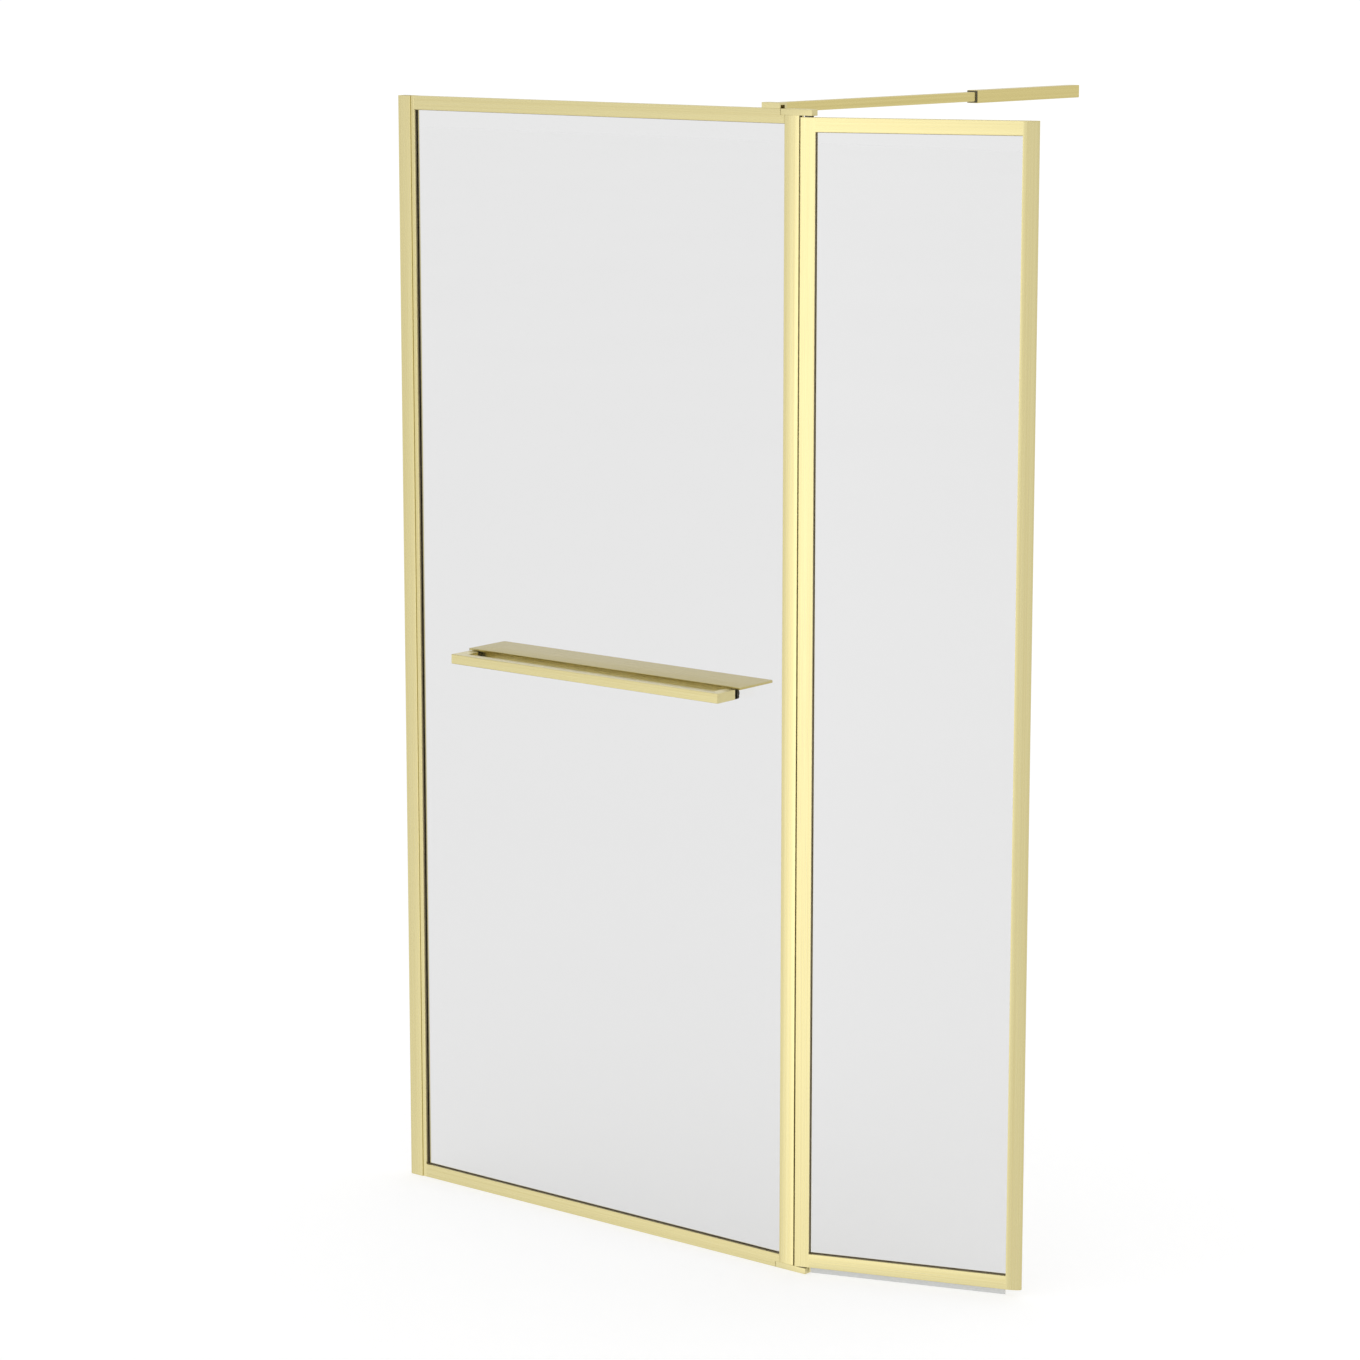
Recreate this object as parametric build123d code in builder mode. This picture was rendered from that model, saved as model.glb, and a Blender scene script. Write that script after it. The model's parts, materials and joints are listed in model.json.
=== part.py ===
"""Walk-in shower screen: a framed fixed panel with a towel bar and shelf, a pivoting end panel
and a telescopic brace to the far wall.

Frame: X runs from the wall along the fixed panel, Y points into the shower, Z is up. The origin
is on the wall face, at tray level, in the middle plane of the fixed glass. Sizes are millimetres.
"""
from build123d import *
from math import cos, radians, sin, sqrt
import os

os.makedirs("parts", exist_ok=True)

# Overall sizes
screen_height = 2000.0
panel_width = 900.0            # wall face to the hinge side of the corner post
brace_reach = 892.0            # middle of the fixed glass to the far wall
frame_depth = 16.0
glass_thickness = 6.0
opening_angle = 19.9           # the pivot panel's swing into the shower, from in line

# Extruded aluminium profiles
profile_wall = 1.5
edge_radius = 0.6
rail_height = 24.3
pivot_rail_height = 24.0
pocket_depth = 12.3            # glazing pocket of the rails, the wall stile and the closing stile
gasket_leg = 2.25              # rubber between the glass face and the pocket wall
gasket_setback = 0.8
glass_bite = 9.5               # how far the glass edge stands in a pocket
port_radius = 3.4              # round boss that takes a frame screw along the profile
port_overlap = 0.2             # how far the boss merges into the web
wall_profile_width = 28.5
wall_stile_width = 24.0
wall_stile_edge = 36.5         # side of the wall stile that meets the glass
channel_clearance = 0.3
corner_post_width = 30.0
post_crown = 1.2               # how far the post's faces bow out
socket_wall = 2.9              # wall behind the post's concave side
hinge_stile_nose = 12.6        # pivot axis to the flat corners on the post side
hinge_stile_face = 12.7        # pivot axis to the glass side
hinge_pocket_depth = 7.2
hinge_glass_bite = 5.0
closing_stile_width = 26.5
closing_stile_flat = 2.5       # straight part before the oval nose begins
closing_nose_wall = 1.7

# Pivot
pivot_offset = 16.0            # corner post to the pivot axis
pivot_panel_width = 403.3
pivot_panel_bottom = 12.0
pivot_top_gap = 13.0           # top of the pivot panel below the top of the screen
bracket_overhang = 11.0        # bracket end beyond the pivot axis
bracket_lap = 8.0              # bracket end that laps over the rail
bracket_gap = 0.4
pin_radius = 4.0
pin_clearance = 0.05
pin_length = 8.8               # part that stands out of the block
pin_seat = 14.0                # part pressed into the block
pin_chamfer = 0.8
bush_wall = 2.0
bush_seat_clearance = 0.02
bush_depth = 8.0
bush_flange_radius = 7.4
bush_play = 0.1
block_length = 22.0
tongue_length = 25.0
spigot_length = 25.0
block_clearance = 0.15
cover_thickness = 1.5

# Screws and holes
screw_radius = 2.1
screw_head_radius = 3.7
screw_head_height = 2.4
screw_clearance = 0.05
screw_grip = 16.0              # length of a frame screw inside its port
screw_access_radius = 4.2
socket_size = 0.55             # drive socket as a share of the head radius
socket_depth = 0.8
small_screw_radius = 1.75
small_head_radius = 3.3
small_screw_length = 8.0
tongue_screw_length = 4.0
tongue_screw_inset = 14.0      # stile to the screw in a rail
neck_screw_inset = 3.6         # rail to the screw in a stile
wall_hole_radius = 2.75
wall_hole_inset = 100.0        # end of the wall profile to its outer holes
wall_hole_count = 4
adjuster_inset = 300.0         # end of the wall profile to its outer adjusters
adjuster_x = 18.0
adjuster_travel_in = 7.0       # towards the wall
adjuster_travel_out = 6.0
adjuster_length = 9.0
adjuster_cap_radius = 5.2
adjuster_cap_roof = 0.9

# Seals
brush_base_width = 4.0
brush_base_depth = 1.2
brush_pile_width = 2.4
brush_play = 0.3
groove_mouth = 3.0
groove_width = 6.0
groove_lip = 1.2
groove_depth = 2.8
groove_wall = 1.2
seal_play = 0.15
seal_width = 4.0
seal_tip_height = 0.8
seal_tip_thickness = 1.0
seal_start = 14.6              # pivot axis to the near end of the bottom seal
seal_end_gap = 2.0

# Brace
brace_setback = 29.0           # corner post to the middle of the brace
brace_rise = 0.8               # middle of the brace above the top of the screen
clamp_width = 38.0
clamp_top = 9.5                # above the top of the screen
clamp_plate = 4.0
clamp_front_wall = 3.0
clamp_rib = 2.0                # part of the back wall that stands on the rail
clamp_drop = 16.0
clamp_screw_spacing = 27.0
clamp_screw_drop = 5.5         # below the top of the rail
clamp_edge = 0.8
bar_size = 16.5
bar_wall = 1.5
bar_corner = 1.0
bar_length = 750.0
bar_spigot = 24.0
tube_size = 22.5
tube_wall = 1.5
tube_corner = 1.5
tube_length = 316.0
guide_lip = 1.2
guide_length = 30.0
guide_clearance = 0.05
plug_length = 20.0
plug_head = 6.0
plug_clearance = 0.05
socket_plate = 5.0
socket_spigot = 25.0
socket_clearance = 0.1
socket_bore = 5.0
grub_radius = 2.5
grub_gap = 0.1
grub_depth = 2.3               # how far a fixing screw enters a spigot
lock_screw_inset = 16.0
spigot_screw_inset = 12.0

# Towel bar and shelf
towel_bar_start = 153.6        # wall face to the near end of the bar
towel_bar_length = 613.1
towel_bar_height = 17.3
towel_bar_bottom = 993.2
towel_bar_depth = 20.0
towel_gap = 30.0               # bar to the glass
leg_width = 22.0
leg_corner = 3.0
bar_edge = 0.8
washer_thickness = 1.0
washer_inset = 1.0
bolt_inset = 8.0               # bar end to the middle of the bolt
bolt_radius = 2.95
bolt_head_radius = 4.5
bolt_head_height = 3.0
bolt_grip = 14.0               # bolt length inside the leg
bolt_clearance = 0.1
glass_hole_radius = 6.0
sleeve_clearance = 0.1
pad_thickness = 5.5
pad_width = 16.0
pad_corner = 3.5
shelf_overhang = 5.0
shelf_depth = 95.5
shelf_thickness = 4.0
shelf_glass_gap = 0.5
shelf_corner = 6.0
shelf_edge = 0.6
flange_thickness = 3.0
flange_inset = 3.4

# Places that follow from the sizes
half_depth = frame_depth / 2
half_glass = glass_thickness / 2
inner_half = half_depth - profile_wall
pocket_width = glass_thickness + 2 * gasket_leg
hole_radius = screw_radius + screw_clearance
post_left = panel_width - corner_post_width
pivot_x = panel_width + pivot_offset
bracket_thickness = rail_height - pocket_depth - profile_wall
bracket_left = post_left - bracket_lap
bracket_right = pivot_x + bracket_overhang
rail_port = bracket_thickness - port_radius + port_overlap
pivot_top_height = screen_height - pivot_top_gap
pivot_web = pivot_rail_height - pocket_depth
nose_radius = sqrt(hinge_stile_nose ** 2 + half_depth ** 2)
post_edge_half = half_depth - post_crown
socket_radius = sqrt(pivot_offset ** 2 + post_edge_half ** 2)
closing_end = pivot_panel_width - hinge_stile_nose
closing_face = closing_end - closing_stile_width
wall_profile_half = half_depth + channel_clearance + profile_wall
stile_back = wall_stile_edge - wall_stile_width
stile_web = wall_stile_edge - pocket_depth - profile_wall
wall_hole_pitch = (screen_height - 2 * wall_hole_inset) / (wall_hole_count - 1)
wall_hole_heights = [wall_hole_inset + place * wall_hole_pitch for place in range(wall_hole_count)]
adjuster_heights = (adjuster_inset, screen_height / 2, screen_height - adjuster_inset)
towel_bar_end = towel_bar_start + towel_bar_length
towel_bar_middle = towel_bar_bottom + towel_bar_height / 2
bolt_places = (towel_bar_start + bolt_inset, towel_bar_end - bolt_inset)
leg_back = -half_glass - washer_thickness
bar_back = -half_glass - towel_gap
bar_front = bar_back - towel_bar_depth
shelf_top = towel_bar_bottom + towel_bar_height + shelf_thickness - bar_edge
shelf_underside = shelf_top - shelf_thickness
pad_back = half_glass + pad_thickness
flange_back = pad_back + flange_thickness
clamp_back = half_depth + clamp_plate
tube_start = brace_reach - socket_plate - tube_length
tube_end = brace_reach - socket_plate
bar_start = clamp_back
bar_end = bar_start + bar_length
bar_bore = bar_size - 2 * bar_wall
tube_bore = tube_size - 2 * tube_wall
brace_x = post_left - brace_setback
brace_z = screen_height + brace_rise
clamp_left = brace_x - clamp_width / 2
clamp_screw_places = (brace_x - clamp_screw_spacing / 2, brace_x + clamp_screw_spacing / 2)
tongue_screw_x = clamp_screw_places[1]
gasket_floor = pocket_depth - glass_bite - gasket_setback
glass_inset = rail_height - glass_bite
pivot_glass_inset = pivot_rail_height - glass_bite
fixed_glass_sides = (wall_stile_edge - glass_bite, post_left + glass_bite)
fixed_glass_ends = (glass_inset, screen_height - glass_inset)
pivot_glass_sides = (hinge_stile_face - hinge_glass_bite, closing_face + glass_bite)
pivot_glass_ends = (pivot_panel_bottom + pivot_glass_inset, pivot_top_height - pivot_glass_inset)
corner_screw_length = pocket_depth + profile_wall + screw_grip
post_web_back = post_left + pocket_depth + profile_wall
post_chamber_end = pivot_x - socket_radius - socket_wall
brush_reach = brush_base_depth + socket_radius - nose_radius - brush_play
bush_outer = pin_radius + pin_clearance + bush_wall
bush_seat_radius = bush_outer + bush_seat_clearance
groove_height = groove_lip + groove_depth + groove_wall
top_arm_base = profile_wall + block_clearance
bottom_arm_base = groove_height + block_clearance
hinge_web_back = hinge_stile_face - hinge_pocket_depth - profile_wall
closing_web_back = closing_face + pocket_depth + profile_wall
hinge_screws = (hinge_stile_face - neck_screw_inset, hinge_stile_face + tongue_screw_inset)
closing_screws = (closing_face + neck_screw_inset, closing_face - tongue_screw_inset)
bolt_length = flange_back - leg_back + bolt_grip
bolt_hole_radius = bolt_radius + bolt_clearance
flange_start = towel_bar_start + flange_inset
flange_length = towel_bar_length - 2 * flange_inset

LOW = (Align.CENTER, Align.MIN)
HIGH = (Align.CENTER, Align.MAX)
LEFT = (Align.MIN, Align.CENTER)
RIGHT = (Align.MAX, Align.CENTER)
TOP_LEFT = (Align.MIN, Align.MAX)
CORNER = (Align.MIN, Align.MIN)

# Planes at the outer edges of the two panels, each facing the middle of its glass
pivot_direction = (cos(radians(opening_angle)), sin(radians(opening_angle)), 0)
fixed_panel = Plane.XY
fixed_bottom = Plane.XY
fixed_top = Plane(origin=(0, 0, screen_height), x_dir=(1, 0, 0), z_dir=(0, 0, -1))
pivot_panel = Plane(origin=(pivot_x, 0, 0), x_dir=pivot_direction, z_dir=(0, 0, 1))
pivot_bottom = pivot_panel.offset(pivot_panel_bottom)
pivot_top = Plane(origin=(pivot_x, 0, pivot_top_height), x_dir=pivot_direction, z_dir=(0, 0, -1))


def across(edge, x):
    """Plane across a rail at x, its own y axis pointing from the edge to the glass."""
    return Plane(origin=edge.from_local_coords((x, 0, 0)), x_dir=edge.y_dir, z_dir=edge.x_dir)


def upright(panel, x, z, side):
    """Level plane at x, its own y axis pointing to the glass: side is 1 along x, -1 against it."""
    return Plane(
        origin=panel.from_local_coords((x, 0, z)),
        x_dir=panel.y_dir * -side,
        z_dir=panel.z_dir,
    )


def facing(panel, place, direction):
    """Plane at a place on a panel, facing along one of the panel's directions."""
    along_x, along_y, along_z = direction
    return Plane(
        origin=panel.from_local_coords(place),
        x_dir=panel.z_dir if along_x else panel.x_dir,
        z_dir=panel.x_dir * along_x + panel.y_dir * along_y + panel.z_dir * along_z,
    )


def along_brace(y):
    """Plane across the brace, facing the far wall."""
    return Plane(origin=(brace_x, y, brace_z), x_dir=(1, 0, 0), z_dir=(0, 1, 0))


def under_brace(y, size):
    """Plane on the underside of a brace section of the given size, facing down."""
    return Plane(origin=(brace_x, y, brace_z - size / 2), x_dir=(1, 0, 0), z_dir=(0, 0, -1))


def height_of(edge, distance):
    """Height above the tray of a point this far in from an edge plane."""
    return edge.offset(distance).origin.Z


def save(piece, name):
    """Label a finished piece and write it."""
    piece.part.label = name
    export_step(piece.part, f"parts/{name}.step")


# Screws and their holes
def countersunk_screw(seat, radius, head_radius, length):
    """Screw with its head flush in the seat plane and its shaft behind it."""
    with BuildSketch(seat) as outline:
        Circle(radius)
    extrude(outline.sketch, amount=-length)
    with BuildSketch(seat) as outline:
        Circle(head_radius)
    extrude(outline.sketch, amount=radius - head_radius, taper=45)
    drive_socket(seat, head_radius)


def pan_screw(seat, radius, head_radius, head_height, length):
    """Screw with its head standing on the seat plane and its shaft behind it."""
    with BuildSketch(seat) as outline:
        Circle(radius)
    extrude(outline.sketch, amount=-length)
    with BuildSketch(seat) as outline:
        Circle(head_radius)
    extrude(outline.sketch, amount=head_height)
    drive_socket(seat.offset(head_height), head_radius)


def grub_screw(seat, length):
    """Headless screw, flush with the seat plane."""
    with BuildSketch(seat) as outline:
        Circle(grub_radius)
    extrude(outline.sketch, amount=-length)
    drive_socket(seat, grub_radius)


def drive_socket(seat, head_radius):
    """Six-sided socket for the driver."""
    with BuildSketch(seat) as outline:
        RegularPolygon(socket_size * head_radius, side_count=6)
    extrude(outline.sketch, amount=-socket_depth, mode=Mode.SUBTRACT)


def countersunk_hole(seat, radius, head_radius, length):
    """Hole for a countersunk screw, through everything behind the seat plane."""
    with Locations(seat):
        CounterSinkHole(
            radius + screw_clearance,
            head_radius + screw_clearance,
            length,
            counter_sink_angle=90,
        )


def round_hole(seat, radius, depth):
    """Round hole behind the seat plane."""
    with BuildSketch(seat) as outline:
        Circle(radius)
    extrude(outline.sketch, amount=-depth, mode=Mode.SUBTRACT)


# Sections of the profiles
def glazing_profile(width):
    """Hollow bar: a chamber along the outer edge, a web, and a pocket for the glass."""
    Rectangle(frame_depth, width, align=LOW)
    fillet(vertices(), edge_radius)
    with Locations((0, width)):
        Rectangle(pocket_width, pocket_depth, align=HIGH, mode=Mode.SUBTRACT)
    with Locations((0, profile_wall)):
        chamber_depth = width - pocket_depth - 2 * profile_wall
        Rectangle(2 * inner_half, chamber_depth, align=LOW, mode=Mode.SUBTRACT)


def screw_port():
    """Round boss under the web of a fixed rail, which takes a screw along the rail."""
    with Locations((0, rail_port)):
        Circle(port_radius)
        Circle(hole_radius, mode=Mode.SUBTRACT)


def seal_groove():
    """Groove with a narrow mouth, built into the edge of the bottom rail of the pivot panel."""
    Rectangle(groove_width + 2 * groove_wall, groove_height, align=LOW)
    with Locations((0, groove_lip)):
        Rectangle(groove_width, groove_depth, align=LOW, mode=Mode.SUBTRACT)
    Rectangle(groove_mouth, groove_lip, align=LOW, mode=Mode.SUBTRACT)


def post_chamber(inset, mode=Mode.ADD):
    """Closed chamber of the corner post, or what fills it with a gap all round."""
    with Locations((post_web_back + inset, 0)):
        Rectangle(
            post_chamber_end - post_web_back - 2 * inset,
            2 * (post_edge_half - profile_wall - inset),
            align=LEFT,
            mode=mode,
        )


def post_section():
    """Corner post: bowed faces, a pocket for the glass and a hollow side round the pivot."""
    with BuildLine() as outline:
        front = TangentArc((post_left, -half_depth), (panel_width, -post_edge_half), tangent=(1, 0))
        hollow = ThreePointArc(front @ 1, (pivot_x - socket_radius, 0), (panel_width, post_edge_half))
        back = TangentArc((post_left, half_depth), hollow @ 1, tangent=(1, 0))
        Line(back @ 0, front @ 0)
    make_face(outline.line)
    fillet(vertices(), edge_radius)
    with Locations((post_left, 0)):
        Rectangle(pocket_depth, pocket_width, align=LEFT, mode=Mode.SUBTRACT)
    with Locations((pivot_x - socket_radius - brush_base_depth, 0)):
        Rectangle(2 * brush_base_depth, brush_base_width, align=LEFT, mode=Mode.SUBTRACT)


def rounded_nose(end, half, radius, mode=Mode.ADD):
    """Section with flat faces, rounded about the pivot axis on the post side."""
    start = -sqrt(radius ** 2 - half ** 2)
    with BuildLine() as outline:
        Polyline((start, -half), (end, -half), (end, half), (start, half))
        ThreePointArc((start, half), (-radius, 0), (start, -half))
    make_face(outline.line, mode=mode)


def hinge_chamber(inset, mode=Mode.ADD):
    """Chamber of the hinge stile, or what fills it with a gap all round."""
    rounded_nose(
        hinge_stile_face - hinge_pocket_depth - profile_wall - inset,
        inner_half - inset,
        nose_radius - profile_wall - inset,
        mode,
    )


def oval_nose(start, inset, mode=Mode.ADD):
    """Half oval of the closing stile from start to its nose, drawn in by the inset."""
    middle = closing_face + closing_stile_flat
    with BuildSketch() as outline:
        with Locations((middle, 0)):
            Ellipse(closing_end - middle - inset, half_depth - inset)
        with Locations((start, 0)):
            Rectangle(closing_stile_width, frame_depth, align=LEFT, mode=Mode.INTERSECT)
    add(outline.sketch, mode=mode)


def closing_outline():
    """Outline of the closing stile: short flat faces that run into an oval nose."""
    oval_nose(closing_face + closing_stile_flat, 0)
    with Locations((closing_face, 0)):
        Rectangle(closing_stile_flat, frame_depth, align=LEFT)


def closing_chamber(inset, mode=Mode.ADD):
    """Chamber of the closing stile, or what fills it with a gap all round."""
    oval_nose(closing_face + pocket_depth + profile_wall + inset, closing_nose_wall + inset, mode)


def gasket_section(bite):
    """Rubber channel round the edge of the glass, measured from the mouth of its pocket."""
    floor = -bite - gasket_floor
    with Locations((0, floor)):
        Rectangle(pocket_width, -gasket_setback - floor, align=LOW)
    with Locations((0, -bite)):
        Rectangle(glass_thickness, bite, align=LOW, mode=Mode.SUBTRACT)


def square_tube(size, wall, corner):
    """Hollow square section with rounded outer corners."""
    RectangleRounded(size, size, corner)
    Rectangle(size - 2 * wall, size - 2 * wall, mode=Mode.SUBTRACT)


# Wall channel and the upright that slides in it
def adjuster_seat(z):
    """Plane on the shower side of the wall channel, at an adjusting screw."""
    return facing(fixed_panel, (adjuster_x, wall_profile_half, z), (0, 1, 0))


with BuildPart() as wall_profile:
    with BuildSketch(fixed_bottom):
        Rectangle(wall_profile_width, 2 * wall_profile_half, align=LEFT)
        fillet(vertices(), edge_radius)
        with Locations((profile_wall, 0)):
            Rectangle(
                wall_profile_width,
                2 * (half_depth + channel_clearance),
                align=LEFT,
                mode=Mode.SUBTRACT,
            )
    extrude(amount=screen_height)
    for z in wall_hole_heights:
        round_hole(facing(fixed_panel, (profile_wall, 0, z), (1, 0, 0)), wall_hole_radius, profile_wall)
    for z in adjuster_heights:
        with BuildSketch(adjuster_seat(z)):
            with Locations(((adjuster_travel_out - adjuster_travel_in) / 2, 0)):
                SlotCenterToCenter(adjuster_travel_in + adjuster_travel_out, 2 * hole_radius)
        extrude(amount=-profile_wall, mode=Mode.SUBTRACT)
save(wall_profile, "wall_profile")

with BuildPart() as wall_stile:
    with BuildSketch(upright(fixed_panel, stile_back, 0, 1)):
        glazing_profile(wall_stile_width)
    extrude(amount=screen_height)
    for edge in (fixed_bottom, fixed_top):
        port_height = height_of(edge, rail_port)
        wall_side = facing(fixed_panel, (stile_back + profile_wall, 0, port_height), (1, 0, 0))
        round_hole(wall_side, screw_access_radius, profile_wall)
        web_side = facing(fixed_panel, (stile_web + profile_wall, 0, port_height), (1, 0, 0))
        round_hole(web_side, hole_radius, profile_wall)
    for z in adjuster_heights:
        shower_side = facing(fixed_panel, (adjuster_x, half_depth, z), (0, 1, 0))
        round_hole(shower_side, hole_radius, profile_wall)
save(wall_stile, "wall_stile")

with BuildPart() as adjuster_screws:
    for z in adjuster_heights:
        pan_screw(adjuster_seat(z), screw_radius, screw_head_radius, screw_head_height, adjuster_length)
save(adjuster_screws, "adjuster_screws")

with BuildPart() as adjuster_caps:
    for z in adjuster_heights:
        with BuildSketch(adjuster_seat(z)):
            Circle(adjuster_cap_radius)
        extrude(amount=screw_head_height + adjuster_cap_roof)
        round_hole(adjuster_seat(z).offset(screw_head_height), screw_head_radius, screw_head_height)
    cap_rims = edges().filter_by(GeomType.CIRCLE).group_by(Axis.Y)[-1]
    fillet(cap_rims, adjuster_cap_roof / 2)
save(adjuster_caps, "adjuster_caps")


# Fixed rails, corner post and glass
def fixed_rail(edge):
    """Rail of the fixed panel, cut back at its end for the pivot bracket."""
    with BuildSketch(across(edge, wall_stile_edge)) as outline:
        glazing_profile(rail_height)
        screw_port()
    extrude(outline.sketch, amount=post_left - wall_stile_edge)
    with BuildSketch(across(edge, bracket_left - bracket_gap)) as outline:
        Rectangle(frame_depth, bracket_thickness, align=LOW)
    extrude(outline.sketch, amount=bracket_lap + bracket_gap, mode=Mode.SUBTRACT)


def tongue_screw_seats(edge, places):
    """Planes on the shower side of a fixed rail, at the screws near its pivot bracket."""
    z = height_of(edge, clamp_screw_drop)
    return [facing(fixed_panel, (x, half_depth, z), (0, 1, 0)) for x in places]


with BuildPart() as bottom_rail:
    fixed_rail(fixed_bottom)
    for seat in tongue_screw_seats(fixed_bottom, (tongue_screw_x,)):
        countersunk_hole(seat, small_screw_radius, small_head_radius, profile_wall)
save(bottom_rail, "bottom_rail")

with BuildPart() as top_rail:
    fixed_rail(fixed_top)
    for seat in tongue_screw_seats(fixed_top, clamp_screw_places):
        round_hole(seat, small_screw_radius + screw_clearance, profile_wall)
save(top_rail, "top_rail")


def post_screw_seat(edge):
    """Plane at the foot of the post's glass pocket, facing the glass."""
    z = height_of(edge, bracket_thickness + spigot_length / 2)
    return facing(fixed_panel, (post_left + pocket_depth, 0, z), (-1, 0, 0))


with BuildPart() as corner_post:
    with BuildSketch(fixed_bottom.offset(bracket_thickness)):
        post_section()
        post_chamber(0, Mode.SUBTRACT)
    extrude(amount=screen_height - 2 * bracket_thickness)
    for edge in (fixed_bottom, fixed_top):
        countersunk_hole(post_screw_seat(edge), small_screw_radius, small_head_radius, profile_wall)
save(corner_post, "corner_post")

with BuildPart() as post_seal:
    with BuildSketch(fixed_bottom.offset(bracket_thickness)):
        with Locations((pivot_x - socket_radius - brush_base_depth, 0)):
            Rectangle(brush_base_depth, brush_base_width, align=LEFT)
            Rectangle(brush_reach, brush_pile_width, align=LEFT)
    extrude(amount=screen_height - 2 * bracket_thickness)
save(post_seal, "post_seal")


def glass_pane(panel, sides, ends):
    """Pane in the middle plane of a panel, between its two sides and its two ends."""
    with BuildSketch(panel.offset(ends[0])) as outline:
        with Locations((sides[0], 0)):
            Rectangle(sides[1] - sides[0], glass_thickness, align=LEFT)
    extrude(outline.sketch, amount=ends[1] - ends[0])


def bolt_seat(x, y):
    """Plane at a bolt of the towel bar and shelf, facing into the shower."""
    return facing(fixed_panel, (x, y, towel_bar_middle), (0, 1, 0))


with BuildPart() as fixed_glass:
    glass_pane(fixed_panel, fixed_glass_sides, fixed_glass_ends)
    for x in bolt_places:
        round_hole(bolt_seat(x, half_glass), glass_hole_radius, glass_thickness)
save(fixed_glass, "fixed_glass")


def upright_gasket(panel, x, side, bite, glass_ends):
    """Gasket in an upright's pocket, as long as the glass edge."""
    bottom, top = glass_ends
    with BuildSketch(upright(panel, x, bottom, side)) as outline:
        gasket_section(bite)
    extrude(outline.sketch, amount=top - bottom)


def rail_gasket(edge, width, start, end):
    """Gasket in a rail's pocket, from upright to upright."""
    with BuildSketch(across(edge.offset(width), start)) as outline:
        gasket_section(glass_bite)
    extrude(outline.sketch, amount=end - start)


with BuildPart() as wall_side_gasket:
    upright_gasket(fixed_panel, wall_stile_edge, 1, glass_bite, fixed_glass_ends)
save(wall_side_gasket, "wall_side_gasket")

with BuildPart() as post_gasket:
    upright_gasket(fixed_panel, post_left, -1, glass_bite, fixed_glass_ends)
save(post_gasket, "post_gasket")

with BuildPart() as bottom_rail_gasket:
    rail_gasket(fixed_bottom, rail_height, wall_stile_edge, post_left)
save(bottom_rail_gasket, "bottom_rail_gasket")

with BuildPart() as top_rail_gasket:
    rail_gasket(fixed_top, rail_height, wall_stile_edge, post_left)
save(top_rail_gasket, "top_rail_gasket")

with BuildPart() as corner_screws:
    for edge in (fixed_bottom, fixed_top):
        place = (stile_web, 0, height_of(edge, rail_port))
        seat = facing(fixed_panel, place, (-1, 0, 0))
        pan_screw(seat, screw_radius, screw_head_radius, screw_head_height, corner_screw_length)
save(corner_screws, "corner_screws")


# Pivot brackets, bushes and pins
def pivot_bracket(edge):
    """Bracket that closes the post, laps the rail's end and holds the bush of the pivot."""
    with BuildSketch(edge) as outline:
        with Locations((bracket_left, 0)):
            Rectangle(bracket_right - bracket_left, frame_depth, align=LEFT)
    extrude(outline.sketch, amount=bracket_thickness)
    fillet(edges(), edge_radius)
    with BuildSketch(across(edge, bracket_left + edge_radius)) as outline:
        with Locations((0, profile_wall + block_clearance)):
            Rectangle(
                2 * (inner_half - block_clearance),
                bracket_thickness - profile_wall - 2 * block_clearance,
                align=LOW,
            )
        with Locations((0, rail_port)):
            Circle(port_radius + block_clearance, mode=Mode.SUBTRACT)
    extrude(outline.sketch, amount=-tongue_length)
    with BuildSketch(edge.offset(bracket_thickness - edge_radius)) as outline:
        post_chamber(block_clearance)
    extrude(outline.sketch, amount=spigot_length + edge_radius)
    round_hole(facing(edge, (pivot_x, 0, bracket_thickness), (0, 0, 1)), bush_seat_radius, bush_depth)
    countersunk_hole(post_screw_seat(edge), small_screw_radius, small_head_radius, small_screw_length)
    for seat in tongue_screw_seats(edge, (tongue_screw_x,)):
        countersunk_hole(seat, small_screw_radius, small_head_radius, small_screw_length)


with BuildPart() as lower_pivot_bracket:
    pivot_bracket(fixed_bottom)
save(lower_pivot_bracket, "lower_pivot_bracket")

with BuildPart() as upper_pivot_bracket:
    pivot_bracket(fixed_top)
save(upper_pivot_bracket, "upper_pivot_bracket")

with BuildPart() as bracket_screws:
    for edge in (fixed_bottom, fixed_top):
        countersunk_screw(post_screw_seat(edge), small_screw_radius, small_head_radius, small_screw_length)
    for seat in tongue_screw_seats(fixed_bottom, (tongue_screw_x,)):
        countersunk_screw(seat, small_screw_radius, small_head_radius, tongue_screw_length)
save(bracket_screws, "bracket_screws")


def bush(edge, flange_thickness):
    """Flanged bush in a pivot bracket; the flange keeps the panel off the bracket."""
    seat = facing(edge, (pivot_x, 0, bracket_thickness), (0, 0, 1))
    with BuildSketch(seat) as outline:
        Circle(bush_flange_radius)
    extrude(outline.sketch, amount=flange_thickness)
    with BuildSketch(seat) as outline:
        Circle(bush_outer)
    extrude(outline.sketch, amount=-bush_depth)
    round_hole(seat.offset(flange_thickness), pin_radius + pin_clearance, flange_thickness + bush_depth)


with BuildPart() as lower_bush:
    bush(fixed_bottom, pivot_panel_bottom - bracket_thickness - bush_play)
save(lower_bush, "lower_bush")

with BuildPart() as upper_bush:
    bush(fixed_top, pivot_top_gap - bracket_thickness - bush_play)
save(upper_bush, "upper_bush")


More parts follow.
